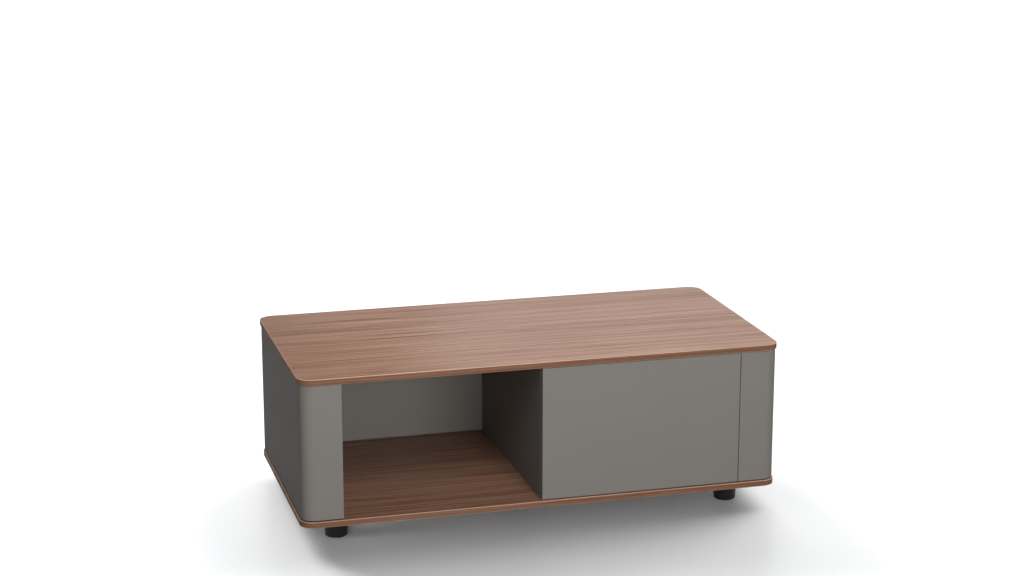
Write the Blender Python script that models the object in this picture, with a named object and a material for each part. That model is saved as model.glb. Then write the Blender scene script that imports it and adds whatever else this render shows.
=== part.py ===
# Coffee table with a walnut top and base, bent grey end shells, an open compartment and a drawer.
# Metres, +Z up. X runs along the length, the open side faces -Y, and Z is zero on the floor.
# The origin is on the floor under the middle of the table.

from math import cos, pi, radians, sin, tau

import bmesh
import bpy
from mathutils import Matrix

# Driving dimensions of the whole table
table_length = 1.200
table_depth = 0.600
table_height = 0.425
foot_height = 0.059

# The two walnut panels, alike in outline
panel_thickness = 0.015
panel_corner_radius = 0.035
panel_arris = 0.001
panel_corner_steps = 14

# The bent end shells, a front post, a side and a rear post in one piece
shell_inset = 0.003
shell_thickness = 0.016
post_width = 0.099
shadow_gap = 0.0025
lacquer_arris = 0.001
shell_corner_steps = 14
arris_steps = 3

# Upright boards inside the shells and between the two compartments
board_thickness = 0.016
divider_thickness = 0.018
tongue_thickness = 0.006
tongue_depth = 0.006
board_arris = 0.0006
back_joint = 0.0005

# Clearances between pieces
seat_gap = 0.0003
push_gap = 0.0025
drawer_side_gap = 0.0015
drawer_top_gap = 0.0012

# The drawer box behind the drawer front
box_board = 0.012
box_bottom_board = 0.008
box_floor_clearance = 0.012
box_top_clearance = 0.074
box_rear_clearance = 0.032
groove_height = 0.010
groove_depth = 0.006
box_arris = 0.0015

# Telescopic runners, a cabinet rail, a middle rail and a drawer rail on each side
runner_thickness = 0.0127
runner_height = 0.045
runner_sheet = 0.0012
runner_running_gap = 0.0004
runner_head_space = 0.0024
runner_lip_setback = 0.0035
runner_setback = 0.004
runner_lift = 0.060
runner_rear_space = 0.060
rail_screw_share = 0.4

# Push-to-open ejectors behind the runners
ejector_thickness = 0.010
ejector_length = 0.040
ejector_height = 0.036
ejector_nose = 0.005
ejector_arris = 0.001

# Round black feet, one near each corner and one under the middle, each with its moulded-in stud
foot_inset_x = 0.100
foot_inset_y = 0.100
foot_flange_radius = 0.0325
foot_flange_thickness = 0.003
foot_flange_lip = 0.0025
foot_taper = 0.003
foot_fillet = 0.004
foot_segments = 28
foot_fillet_steps = 3
stud_radius = 0.004
stud_panel_share = 0.8
stud_chamfer = 0.0008
pad_radius = 0.018
pad_thickness = 0.003
pad_recess = 0.0015
pad_edge = 0.0006

# Dowels that hold the top panel on the uprights
upright_fixing_y = 0.110
dowel_radius = 0.004
dowel_length = 0.030
dowel_panel_share = 0.65
dowel_chamfer = 0.001
fixing_segments = 12

# Countersunk screws that hold the base panel to the uprights
base_screw_radius = 0.0035
base_screw_length = 0.050
base_screw_head_radius = 0.005
base_screw_head_height = 0.0035
base_screw_socket = 0.002
base_screw_socket_depth = 0.002
base_screw_tip = 0.0025

# Pan-head screws that hold the drawer front to the drawer box and the rails to the boards
front_screw_radius = 0.002
front_screw_length = 0.020
front_screw_head_radius = 0.004
front_screw_head_height = 0.0024
front_screw_inset_x = 0.060
front_screw_inset_z = 0.045
rail_screw_radius = 0.0018
rail_screw_length = 0.010
rail_screw_head_radius = 0.0035
rail_screw_head_height = 0.0018
pan_socket_share = 0.35
pan_socket_depth_share = 0.5
pan_crown_share = 0.7

# How far a cutter runs past the face that it goes through
cut_overrun = 0.002

# Edges sharper than these are softened, or shaded as edges
arris_angle = radians(40)
smooth_angle = radians(35)
socket_sides = 6

# Levels and faces that several pieces share
half_length = table_length / 2
half_depth = table_depth / 2
base_bottom_z = foot_height
base_top_z = foot_height + panel_thickness
top_under_z = table_height - panel_thickness
upright_low_z = base_top_z + seat_gap
upright_high_z = top_under_z - seat_gap
shell_low_z = base_top_z + shadow_gap
shell_radius = panel_corner_radius - shell_inset
shell_inner_radius = max(shell_radius - shell_thickness, lacquer_arris)
shell_side_x = half_length - shell_inset
post_edge_x = shell_side_x - post_width
rear_face_y = half_depth - shell_inset
front_face_y = -rear_face_y
post_back_y = front_face_y + shell_thickness
back_panel_y = rear_face_y - shell_thickness
side_board_x = post_edge_x + board_thickness / 2
divider_side_x = divider_thickness / 2
divider_front_y = post_back_y + push_gap
stud_panel_depth = panel_thickness * stud_panel_share
dowel_panel_depth = panel_thickness * dowel_panel_share

# Faces of the drawer box and its runners
box_left_x = divider_side_x + runner_thickness + 2 * seat_gap
box_right_x = post_edge_x - runner_thickness - 2 * seat_gap
box_front_y = post_back_y + seat_gap
box_rear_y = back_panel_y - box_rear_clearance
box_low_z = base_top_z + box_floor_clearance
box_high_z = top_under_z - box_top_clearance
box_floor_low_z = box_low_z + groove_height
box_floor_high_z = box_floor_low_z + box_bottom_board
runner_front_y = divider_front_y + runner_setback
runner_rear_y = back_panel_y - runner_rear_space
runner_length = runner_rear_y - runner_front_y
runner_y = (runner_front_y + runner_rear_y) / 2
runner_z = box_low_z + runner_lift + runner_height / 2

SIDES = (("left", -1), ("right", 1))
ENDS = (("front", -1), ("rear", 1))
RUNNER_FACES = (("left", divider_side_x + seat_gap, 1), ("right", post_edge_x - seat_gap, -1))


def clear_scene():
    for old in list(bpy.data.objects):
        bpy.data.objects.remove(old, do_unlink=True)


def finish(name, colour, roughness, metallic=0.0):
    # A surface finish shared by the pieces made of one material.
    material = bpy.data.materials.new(name)
    material.use_nodes = True
    shader = material.node_tree.nodes["Principled BSDF"]
    shader.inputs["Base Color"].default_value = (*colour, 1.0)
    shader.inputs["Roughness"].default_value = roughness
    shader.inputs["Metallic"].default_value = metallic
    return material


def arc(centre, radius, start, end, steps):
    # Points from start to end degrees about a centre.
    angles = [radians(start + (end - start) * step / steps) for step in range(steps + 1)]
    return [(centre[0] + radius * cos(angle), centre[1] + radius * sin(angle)) for angle in angles]


def mesh_from(shape, name, smooth):
    # Close a bmesh into a mesh, with its faces pointing out.
    bmesh.ops.recalc_face_normals(shape, faces=shape.faces)
    mesh = bpy.data.meshes.new(name)
    shape.to_mesh(mesh)
    shape.free()
    if smooth:
        mesh.shade_smooth()
        mesh.set_sharp_from_angle(angle=smooth_angle)
    return mesh


def extruded_mesh(name, outline, height, smooth=False):
    # A prism over a closed outline, centred on its height.
    shape = bmesh.new()
    floor = shape.faces.new([shape.verts.new((x, y, -height / 2)) for x, y in outline])
    raised = bmesh.ops.extrude_face_region(shape, geom=[floor])["geom"]
    lifted = [part for part in raised if isinstance(part, bmesh.types.BMVert)]
    bmesh.ops.translate(shape, verts=lifted, vec=(0, 0, height))
    return mesh_from(shape, name, smooth)


def ring_reach(radius, sides, angle):
    # From the axis to a round ring, or to the flats of a socket that has sides.
    if not sides:
        return radius
    half = pi / sides
    return radius / cos((angle + half) % (2 * half) - half)


def turned_mesh(name, rings, segments):
    # A closed turned solid. A ring is (radius, height) if round, (radius, height, sides) if not.
    shape = bmesh.new()
    loops = []
    for radius, height, *sides in rings:
        angles = [tau * step / segments for step in range(segments)] if radius else [0]
        reaches = [ring_reach(radius, sum(sides), angle) for angle in angles]
        loops.append([shape.verts.new((reach * cos(angle), reach * sin(angle), height))
                      for reach, angle in zip(reaches, angles)])
    for lower, upper in zip(loops, loops[1:]):
        for step in range(segments):
            following = (step + 1) % segments
            if len(lower) == 1:
                shape.faces.new((lower[0], upper[step], upper[following]))
            elif len(upper) == 1:
                shape.faces.new((lower[step], upper[0], lower[following]))
            else:
                shape.faces.new((lower[step], upper[step], upper[following], lower[following]))
    return mesh_from(shape, name, smooth=True)


def piece(name, mesh, location, material, rotation=(0, 0, 0), carrier=None):
    # One named solid, at its place in the closed table, carried by an empty if it moves.
    solid = bpy.data.objects.new(name, mesh)
    solid.location = location
    solid.rotation_euler = rotation
    if not mesh.materials:
        mesh.materials.append(material)
    bpy.context.collection.objects.link(solid)
    if carrier:
        solid.location = solid.location - carrier.location
        solid.parent = carrier
    return solid


def slide_carrier(name, location):
    # An empty that carries the pieces of one sliding group.
    empty = bpy.data.objects.new(name, None)
    empty.location = location
    bpy.context.collection.objects.link(empty)
    return empty


def soften(solid, width):
    # Rounded arrises along the sharp edges.
    bevel = solid.modifiers.new("arris", "BEVEL")
    bevel.width = width
    bevel.segments = 2
    bevel.limit_method = "ANGLE"
    bevel.angle_limit = arris_angle
    return solid


def board(name, low, high, material, arris, carrier=None):
    # A rectangular board between two opposite corners, with softened edges.
    half_x, half_y, half_z = ((top - bottom) / 2 for bottom, top in zip(low, high))
    middle = [(top + bottom) / 2 for bottom, top in zip(low, high)]
    outline = [(-half_x, -half_y), (half_x, -half_y), (half_x, half_y), (-half_x, half_y)]
    mesh = extruded_mesh(name, outline, 2 * half_z)
    return soften(piece(name, mesh, middle, material, carrier=carrier), arris)


def bore(solid, name, rings, places, turn=None):
    # Cut one turned shape out of a solid at each place, with its axis along Z unless turned.
    tool = turned_mesh(name, rings, fixing_segments)
    if turn:
        tool.transform(turn)
    shape = bmesh.new()
    for place in places:
        known = set(shape.verts)
        shape.from_mesh(tool)
        fresh = [vert for vert in shape.verts if vert not in known]
        bmesh.ops.translate(shape, verts=fresh, vec=place)
    cutter = bpy.data.objects.new(name, mesh_from(shape, name, smooth=False))
    cutter.hide_render = True
    cutter.display_type = "WIRE"
    bpy.context.collection.objects.link(cutter)
    boolean = solid.modifiers.new(name, "BOOLEAN")
    boolean.operation = "DIFFERENCE"
    boolean.solver = "EXACT"
    boolean.object = cutter


def straight(radius, low, high):
    # The rings of a plain round bore between two heights.
    return [(0, low), (radius, low), (radius, high), (0, high)]


def upright_places(height, uprights=(-1, 0, 1)):
    # Where the uprights are fixed to a panel: left board, divider and right board.
    rows = (-upright_fixing_y, upright_fixing_y)
    return [(upright * side_board_x, y, height) for upright in uprights for y in rows]


def foot_places():
    # Names and places of the four corner feet and the middle foot.
    places = {"centre": (0, 0)}
    for end, along_y in ENDS:
        for side, along_x in SIDES:
            x = along_x * (half_length - foot_inset_x)
            y = along_y * (half_depth - foot_inset_y)
            places[f"{end}_{side}"] = (x, y)
    return places


def panel(name, middle_z, walnut):
    # A rounded rectangle, the same for the top and the base.
    across = half_length - panel_corner_radius
    back = half_depth - panel_corner_radius
    corners = ((across, back, 0), (-across, back, 90), (-across, -back, 180), (across, -back, 270))
    outline = []
    for x, y, start in corners:
        outline += arc((x, y), panel_corner_radius, start, start + 90, panel_corner_steps)
    mesh = extruded_mesh(name, outline, panel_thickness)
    return soften(piece(name, mesh, (0, 0, middle_z), walnut), panel_arris)


def top_panel(walnut):
    top = panel("top_panel", top_under_z + panel_thickness / 2, walnut)
    rings = straight(dowel_radius + seat_gap, -cut_overrun, dowel_panel_depth + seat_gap)
    bore(top, "top_dowel_bores", rings, upright_places(top_under_z))


def base_panel(walnut):
    base = panel("base_panel", base_bottom_z + panel_thickness / 2, walnut)
    shank = base_screw_radius + seat_gap
    head = base_screw_head_radius + seat_gap
    through = panel_thickness + cut_overrun
    rings = [(0, -cut_overrun), (head, -cut_overrun), (head, 0)]
    rings += [(shank, base_screw_head_height + seat_gap), (shank, through), (0, through)]
    bore(base, "base_screw_bores", rings, upright_places(base_bottom_z))
    rings = straight(stud_radius + seat_gap, -cut_overrun, stud_panel_depth + seat_gap)
    bore(base, "stud_bores", rings, [(*place, base_bottom_z) for place in foot_places().values()])


def groove(face_y, inward):
    # The housing of a tongue in a post, from the compartment's side outwards.
    half = tongue_thickness / 2 + seat_gap
    bottom_y = face_y + inward * (tongue_depth + seat_gap)
    near, far = side_board_x - half, side_board_x + half
    return [(near, face_y), (near, bottom_y), (far, bottom_y), (far, face_y)]


def shell_outline():
    # Plan of the right-hand shell: front post, bend, side, bend, rear post, then back inside.
    corner_x = shell_side_x - shell_radius
    corner_y = rear_face_y - shell_radius
    end_x = post_edge_x + lacquer_arris
    end_y = rear_face_y - lacquer_arris
    outer = arc((end_x, -end_y), lacquer_arris, 180, 270, arris_steps)
    outer += arc((corner_x, -corner_y), shell_radius, 270, 360, shell_corner_steps)
    outer += arc((corner_x, corner_y), shell_radius, 0, 90, shell_corner_steps)
    outer += arc((end_x, end_y), lacquer_arris, 90, 180, arris_steps)
    bend_x = shell_side_x - shell_thickness - shell_inner_radius
    bend_y = back_panel_y - shell_inner_radius
    inner = [(post_edge_x, back_panel_y)]
    inner += groove(back_panel_y, 1)
    inner += arc((bend_x, bend_y), shell_inner_radius, 90, 0, shell_corner_steps)
    inner += arc((bend_x, -bend_y), shell_inner_radius, 0, -90, shell_corner_steps)
    inner += reversed(groove(-back_panel_y, -1))
    inner += [(post_edge_x, -back_panel_y)]
    return outer + inner


def shells(lacquer):
    # Left and right shells, held a shadow gap above the base panel.
    height = upright_high_z - shell_low_z
    for side, along in SIDES:
        outline = [(along * x, y) for x, y in shell_outline()]
        mesh = extruded_mesh(f"{side}_shell", outline, height, smooth=True)
        piece(f"{side}_shell", mesh, (0, 0, shell_low_z + height / 2), lacquer)


def bore_upright(solid, upright):
    # Bores for the base screws below and the dowels above.
    name = solid.name
    depth = base_screw_length - panel_thickness + seat_gap
    rings = straight(base_screw_radius + seat_gap, -cut_overrun, depth)
    bore(solid, f"{name}_screw_bores", rings, upright_places(base_top_z, [upright]))
    depth = dowel_length - dowel_panel_depth + seat_gap
    rings = straight(dowel_radius + seat_gap, -depth, cut_overrun)
    bore(solid, f"{name}_dowel_bores", rings, upright_places(top_under_z, [upright]))


def side_boards(lacquer):
    # A board behind each pair of posts, tongued into them at the front and the rear.
    half = board_thickness / 2
    tongue = tongue_thickness / 2
    end_y = back_panel_y - seat_gap
    tip_y = end_y + tongue_depth
    quarter = [(half, end_y), (tongue, end_y), (tongue, tip_y)]
    outline = quarter + [(-x, y) for x, y in reversed(quarter)]
    outline += [(-x, -y) for x, y in outline]
    height = upright_high_z - upright_low_z
    for side, along in SIDES:
        mesh = extruded_mesh(f"{side}_side_board", outline, height)
        place = (along * side_board_x, 0, upright_low_z + height / 2)
        solid = piece(f"{side}_side_board", mesh, place, lacquer)
        bore_upright(solid, along)
        if along > 0:
            bore_for_rail(solid, post_edge_x, 1)


def centre_divider(lacquer):
    low = (-divider_side_x, divider_front_y, upright_low_z)
    high = (divider_side_x, back_panel_y - seat_gap, upright_high_z)
    solid = board("centre_divider", low, high, lacquer, board_arris)
    bore_upright(solid, 0)
    bore_for_rail(solid, divider_side_x, -1)


def back_panel(lacquer):
    # Closes both compartments, level with the rear posts.
    edge_x = post_edge_x - back_joint
    low = (-edge_x, back_panel_y, upright_low_z)
    high = (edge_x, rear_face_y, upright_high_z)
    board("back_panel", low, high, lacquer, lacquer_arris)


def feet(plastic, felt):
    # Turned feet with a flange, a slight taper and a stud that enters the base panel.
    top = base_bottom_z - seat_gap
    bottom = pad_thickness - pad_recess
    neck = foot_flange_radius - foot_flange_lip
    heel = neck - foot_taper - foot_fillet
    recess = pad_radius + seat_gap
    rings = [(0, base_bottom_z + stud_panel_depth)]
    rings += [(stud_radius - stud_chamfer, base_bottom_z + stud_panel_depth)]
    rings += [(stud_radius, base_bottom_z + stud_panel_depth - stud_chamfer), (stud_radius, top)]
    rings += [(foot_flange_radius, top), (foot_flange_radius, top - foot_flange_thickness)]
    rings += [(neck, top - foot_flange_thickness)]
    rings += arc((heel, bottom + foot_fillet), foot_fillet, 0, -90, foot_fillet_steps)
    rings += [(recess, bottom), (recess, pad_thickness + seat_gap), (0, pad_thickness + seat_gap)]
    foot = turned_mesh("foot", rings, foot_segments)
    rings = [(0, 0), (pad_radius - pad_edge, 0), (pad_radius, pad_edge)]
    rings += [(pad_radius, pad_thickness), (0, pad_thickness)]
    pad = turned_mesh("foot_pad", rings, foot_segments)
    for name, (x, y) in foot_places().items():
        piece(f"foot_{name}", foot, (x, y, 0), plastic)
        piece(f"foot_pad_{name}", pad, (x, y, 0), felt)


def dowels(beech):
    # Chamfered dowels, part in the top panel and part in the uprights.
    tip = dowel_radius - dowel_chamfer
    low = dowel_panel_depth - dowel_length
    rings = [(0, low), (tip, low), (dowel_radius, low + dowel_chamfer)]
    rings += [(dowel_radius, dowel_panel_depth - dowel_chamfer), (tip, dowel_panel_depth)]
    rings += [(0, dowel_panel_depth)]
    mesh = turned_mesh("top_dowel", rings, fixing_segments)
    for number, place in enumerate(upright_places(top_under_z), start=1):
        piece(f"top_dowel_{number}", mesh, place, beech)


def base_screws(steel):
    # Each points up, its socketed head level with the underside of the base panel.
    neck = base_screw_length - base_screw_tip
    rings = [(0, base_screw_socket_depth)]
    rings += [(base_screw_socket, base_screw_socket_depth, socket_sides)]
    rings += [(base_screw_socket, 0, socket_sides), (base_screw_head_radius, 0)]
    rings += [(base_screw_radius, base_screw_head_height), (base_screw_radius, neck)]
    rings += [(0, base_screw_length)]
    mesh = turned_mesh("base_screw", rings, fixing_segments)
    for number, place in enumerate(upright_places(base_bottom_z), start=1):
        piece(f"base_screw_{number}", mesh, place, steel)


def pan_screw_mesh(name, radius, length, head_radius, head_height):
    # A pan-head screw along Z. Its head seats at height zero and its shank points down.
    socket = head_radius * pan_socket_share
    floor = head_height * (1 - pan_socket_depth_share)
    crown = head_radius * pan_crown_share
    rings = [(0, -length), (radius, radius - length), (radius, 0), (head_radius, 0)]
    rings += [(head_radius, floor), (crown, head_height), (socket, head_height, socket_sides)]
    rings += [(socket, floor, socket_sides), (0, floor)]
    return turned_mesh(name, rings, fixing_segments)


def rail_screw_places(face_x):
    # Two screws in each rail, towards its ends.
    offsets = (-rail_screw_share * runner_length, rail_screw_share * runner_length)
    return [(face_x, runner_y + offset, runner_z) for offset in offsets]


def bore_for_rail(solid, face_x, along):
    # Screw bores that enter a board at face_x and run along X.
    rings = straight(rail_screw_radius + seat_gap, -cut_overrun, rail_screw_length + seat_gap)
    turn = Matrix.Rotation(along * pi / 2, 4, "Y")
    bore(solid, f"{solid.name}_rail_bores", rings, rail_screw_places(face_x), turn)


def rail_mesh(name, web, lip, height):
    # A channel of bent sheet with its web at one distance and its lips at another.
    half = height / 2
    inner = web + (runner_sheet if lip > web else -runner_sheet)
    lower = [(web, -half), (lip, -half), (lip, runner_sheet - half), (inner, runner_sheet - half)]
    outline = lower + [(x, -z) for x, z in reversed(lower)]
    return extruded_mesh(name, outline, runner_length)


def runners(steel, carriers):
    # Three nested channels a side. The middle rail goes half as far as the drawer.
    nest = runner_sheet + runner_running_gap
    middle_web = runner_sheet + runner_head_space
    rails = (
        ("cabinet", 0, runner_thickness - runner_lip_setback, runner_height),
        ("middle", middle_web, runner_thickness - nest, runner_height - 2 * nest),
        ("drawer", runner_thickness, middle_web + nest, runner_height - 4 * nest),
    )
    screw = pan_screw_mesh("rail_screw", rail_screw_radius, rail_screw_length,
                           rail_screw_head_radius, rail_screw_head_height)
    for side, face_x, along in RUNNER_FACES:
        turn = (pi / 2, 0, 0 if along > 0 else pi)
        for rail, web, lip, height in rails:
            name = f"{side}_{rail}_rail"
            carrier = carriers.get(name)
            mesh = rail_mesh(name, web, lip, height)
            solid = piece(name, mesh, (face_x, runner_y, runner_z), steel, turn, carrier)
            if rail == "middle":
                continue
            inward = 1 if rail == "cabinet" else -1
            seat_x = face_x + along * (web + inward * (runner_sheet + seat_gap))
            reach = runner_sheet + cut_overrun
            rings = straight(rail_screw_radius + seat_gap, -reach, reach)
            turned = Matrix.Rotation(pi / 2, 4, "Y")
            bore(solid, f"{name}_bores", rings, rail_screw_places(seat_x), turned)
            tilt = (0, along * inward * pi / 2, 0)
            for number, place in enumerate(rail_screw_places(seat_x), start=1):
                piece(f"{name}_screw_{number}", screw, place, steel, tilt, carrier)


def ejectors(plastic):
    # Spring housings behind the cabinet rails, which push the drawer out when it is tapped.
    low_y = runner_rear_y + push_gap
    outline = [(0, low_y), (ejector_thickness - ejector_nose, low_y)]
    outline += [(ejector_thickness, low_y + ejector_nose), (ejector_thickness, low_y + ejector_length)]
    outline += [(0, low_y + ejector_length)]
    for side, face_x, along in RUNNER_FACES:
        points = [(along * x, y) for x, y in outline]
        mesh = extruded_mesh(f"{side}_ejector", points, ejector_height)
        soften(piece(f"{side}_ejector", mesh, (face_x, 0, runner_z), plastic), ejector_arris)


def front_screw_places(seat_y):
    # One screw near each corner of the board behind the drawer front.
    columns = (box_left_x + front_screw_inset_x, box_right_x - front_screw_inset_x)
    rows = (box_floor_high_z + front_screw_inset_z, box_high_z - front_screw_inset_z)
    return [(x, seat_y, z) for x in columns for z in rows]


def drawer_front(lacquer, carrier):
    # Handleless, level with the posts, and covering the divider's front edge.
    low = (-divider_side_x, front_face_y, shell_low_z)
    high = (post_edge_x - drawer_side_gap, post_back_y, top_under_z - drawer_top_gap)
    front = board("drawer_front", low, high, lacquer, lacquer_arris, carrier)
    depth = front_screw_length - box_board
    rings = straight(front_screw_radius + seat_gap, -cut_overrun, depth)
    turn = Matrix.Rotation(pi / 2, 4, "X")
    bore(front, "drawer_front_bores", rings, front_screw_places(post_back_y), turn)


def drawer_box(birch, steel, carrier):
    # Two grooved sides, a bottom in the grooves, and a front and back board that stand on it.
    half = box_board / 2
    bed_low, bed_high = box_floor_low_z - seat_gap, box_floor_high_z + seat_gap
    length = box_rear_y - box_front_y
    middle_y = (box_rear_y + box_front_y) / 2
    for side, outer_x, along in (("left", box_left_x, 1), ("right", box_right_x, -1)):
        wall = along * half
        floor = wall - along * (groove_depth + seat_gap)
        outline = [(-wall, box_low_z), (wall, box_low_z), (wall, bed_low), (floor, bed_low)]
        outline += [(floor, bed_high), (wall, bed_high), (wall, box_high_z), (-wall, box_high_z)]
        mesh = extruded_mesh(f"drawer_side_{side}", outline, length)
        place = (outer_x + along * half, middle_y, 0)
        solid = piece(f"drawer_side_{side}", mesh, place, birch, (pi / 2, 0, 0), carrier)
        bore_for_rail(solid, outer_x, along)
    reach = box_board - groove_depth + seat_gap
    low = (box_left_x + reach, box_front_y, box_floor_low_z)
    high = (box_right_x - reach, box_rear_y, box_floor_high_z)
    board("drawer_bottom", low, high, birch, board_arris, carrier)
    inner_left_x = box_left_x + box_board + seat_gap
    inner_right_x = box_right_x - box_board - seat_gap
    stand_z = box_floor_high_z + seat_gap
    low = (inner_left_x, box_rear_y - box_board, stand_z)
    board("drawer_back", low, (inner_right_x, box_rear_y, box_high_z), birch, box_arris, carrier)
    inner_face_y = box_front_y + box_board
    high = (inner_right_x, inner_face_y, box_high_z)
    inner = board("drawer_inner_front", (inner_left_x, box_front_y, stand_z), high, birch, box_arris, carrier)
    turn = Matrix.Rotation(pi / 2, 4, "X")
    rings = straight(front_screw_radius + seat_gap, -cut_overrun, box_board + cut_overrun)
    bore(inner, "drawer_inner_front_bores", rings, front_screw_places(inner_face_y), turn)
    screw = pan_screw_mesh("front_screw", front_screw_radius, front_screw_length,
                           front_screw_head_radius, front_screw_head_height)
    for number, place in enumerate(front_screw_places(inner_face_y + seat_gap), start=1):
        piece(f"drawer_front_screw_{number}", screw, place, steel, (-pi / 2, 0, 0), carrier)


def build():
    clear_scene()
    walnut = finish("walnut_veneer", (0.240, 0.132, 0.086), 0.45)
    lacquer = finish("grey_lacquer", (0.190, 0.178, 0.162), 0.55)
    plastic = finish("black_plastic", (0.012, 0.012, 0.013), 0.50)
    felt = finish("dark_felt", (0.030, 0.029, 0.028), 0.95)
    steel = finish("zinc_steel", (0.55, 0.56, 0.58), 0.35, 1.0)
    beech = finish("beech", (0.55, 0.38, 0.22), 0.60)
    birch = finish("birch_plywood", (0.60, 0.46, 0.30), 0.50)
    drawer = slide_carrier("drawer_slide", (0, post_back_y, runner_z))
    middle = {side: slide_carrier(f"{side}_middle_slide", (face_x, runner_y, runner_z))
              for side, face_x, _ in RUNNER_FACES}
    carriers = {f"{side}_middle_rail": middle[side] for side, _ in SIDES}
    carriers.update({f"{side}_drawer_rail": drawer for side, _ in SIDES})
    top_panel(walnut)
    base_panel(walnut)
    shells(lacquer)
    side_boards(lacquer)
    centre_divider(lacquer)
    back_panel(lacquer)
    feet(plastic, felt)
    dowels(beech)
    base_screws(steel)
    runners(steel, carriers)
    ejectors(plastic)
    drawer_front(lacquer, drawer)
    drawer_box(birch, steel, drawer)


build()
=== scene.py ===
from math import cos, pi, radians, sin, tau

import bmesh
import bpy
from mathutils import Matrix, Vector


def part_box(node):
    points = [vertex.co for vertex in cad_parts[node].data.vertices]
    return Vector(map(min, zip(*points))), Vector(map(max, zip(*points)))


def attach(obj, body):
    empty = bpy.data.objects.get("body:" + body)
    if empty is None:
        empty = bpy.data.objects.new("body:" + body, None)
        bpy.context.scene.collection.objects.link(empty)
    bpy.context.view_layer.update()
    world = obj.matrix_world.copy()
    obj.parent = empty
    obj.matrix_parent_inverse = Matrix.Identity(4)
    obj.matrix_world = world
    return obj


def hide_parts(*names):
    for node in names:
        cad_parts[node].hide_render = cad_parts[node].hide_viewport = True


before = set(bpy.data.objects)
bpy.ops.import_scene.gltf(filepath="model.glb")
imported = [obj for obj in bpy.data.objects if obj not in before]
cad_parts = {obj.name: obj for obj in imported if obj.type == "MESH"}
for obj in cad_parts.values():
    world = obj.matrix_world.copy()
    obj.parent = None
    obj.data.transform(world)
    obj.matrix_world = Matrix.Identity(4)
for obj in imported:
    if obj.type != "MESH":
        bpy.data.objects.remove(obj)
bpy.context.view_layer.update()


# Base panel
# A stock board faced on both sides with walnut veneer and banded round its edge with the same
# veneer. The grain runs along the table. Everything else stands on it, screwed on from below.
panel_corner_radius = 0.035
panel_arris = 0.0015
arris_steps = 4
corner_steps = 20
edge_angle = radians(40)
overrun = 0.002
hole_gap = 0.0003
hole_sides = 32
fixing_y = 0.110
base_screw_radius = 0.0035
base_screw_head_radius = 0.005
base_screw_head_height = 0.0035
stud_radius = 0.004
stud_panel_share = 0.8
red_grain = ((0.152, 0.058, 0.021), (0.412, 0.234, 0.168))
brown_grain = ((0.150, 0.064, 0.025), (0.396, 0.236, 0.170))
dark_vein_brown = (0.118, 0.050, 0.030)
pale_vein_tan = (0.460, 0.292, 0.212)
pore_brown = (0.085, 0.040, 0.024)
# Painted shade for the left end of the sheet.
painted_left_shade_brown = (0.140, 0.074, 0.040)
# Painted shade for the edge banding.
painted_edge_shade_brown = (0.140, 0.062, 0.030)
# Painted highlight for the arris.
painted_highlight_tan = (0.620, 0.410, 0.290)


class Field:
    # Something that varies over a surface: a socket of its finish, with sums written as operators.
    def __init__(self, socket):
        self.socket = socket

    def node(self, kind, settings, sockets, output=0):
        # Any node: its settings first, then the values or the links of its sockets.
        made = self.socket.id_data.nodes.new(kind)
        for name, value in settings.items():
            setattr(made, name, value)
        for name, value in sockets.items():
            entry = made.inputs[name]
            if isinstance(value, Field):
                made.id_data.links.new(value.socket, entry)
            elif entry.type == "RGBA":
                entry.default_value = (*value, 1.0)
            else:
                entry.default_value = value
        return Field(made.outputs[output])

    def is_spatial(self, side):
        # Whether one side of a sum is a place or a triple. A number takes the kind of the other.
        return isinstance(side, tuple) or getattr(side, "socket", self.socket).type == "VECTOR"

    def combine(self, operation, first, second):
        spatial = self.is_spatial(first) or self.is_spatial(second)
        kind = "ShaderNodeVectorMath" if spatial else "ShaderNodeMath"
        return self.node(kind, {"operation": operation}, {0: first, 1: second})

    def __add__(self, other):
        return self.combine("ADD", self, other)

    def __radd__(self, other):
        return self.combine("ADD", other, self)

    def __sub__(self, other):
        return self.combine("SUBTRACT", self, other)

    def __rsub__(self, other):
        return self.combine("SUBTRACT", other, self)

    def __mul__(self, other):
        return self.combine("MULTIPLY", self, other)

    def __rmul__(self, other):
        return self.combine("MULTIPLY", other, self)

    def __lt__(self, other):
        return self.combine("LESS_THAN", self, other)

    def math(self, operation):
        return self.node("ShaderNodeMath", {"operation": operation}, {0: self})

    def parts(self):
        split = self.node("ShaderNodeSeparateXYZ", {}, {"Vector": self})
        return [Field(output) for output in split.socket.node.outputs]

    def between(self, low, high, kind="RGBA"):
        # The first colour, place or value where this is 0, the second where it is 1. A Mix node
        # keeps the pair of each kind under other numbers.
        first, output = {"FLOAT": (2, 0), "VECTOR": (4, 1), "RGBA": (6, 2)}[kind]
        return self.node("ShaderNodeMix", {"data_type": kind},
                         {0: self, first: low, first + 1: high}, output)

    def feeds(self, shader, name):
        shader.id_data.links.new(self.socket, shader.inputs[name])


def new_finish(name, steady):
    # A finish with what is the same all over already set, its shader, and the place on the piece.
    finish = bpy.data.materials.new(name)
    finish.use_nodes = True
    shader = finish.node_tree.nodes["Principled BSDF"]
    for socket, value in steady.items():
        shader.inputs[socket].default_value = value
    place = Field(finish.node_tree.nodes.new("ShaderNodeTexCoord").outputs["Object"])
    return finish, shader, place


def noise(place, detail=2.0, roughness=0.5):
    return place.node("ShaderNodeTexNoise", {}, {
        "Vector": place, "Scale": 1.0, "Detail": detail, "Roughness": roughness})


def rise(field, low, high):
    # From 0 at the lower value to 1 at the higher one, eased at both ends.
    return field.node("ShaderNodeMapRange", {"interpolation_type": "SMOOTHSTEP"}, {
        "Value": field, "From Min": low, "From Max": high, "To Min": 0.0, "To Max": 1.0})


def vein(lie, low, high):
    # Thin lines, where a slow noise passes its middle.
    nearness = 1.0 - (noise(lie, detail=1.0) - 0.5).math("ABSOLUTE") * 2.0
    return rise(nearness, low, high)


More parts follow.
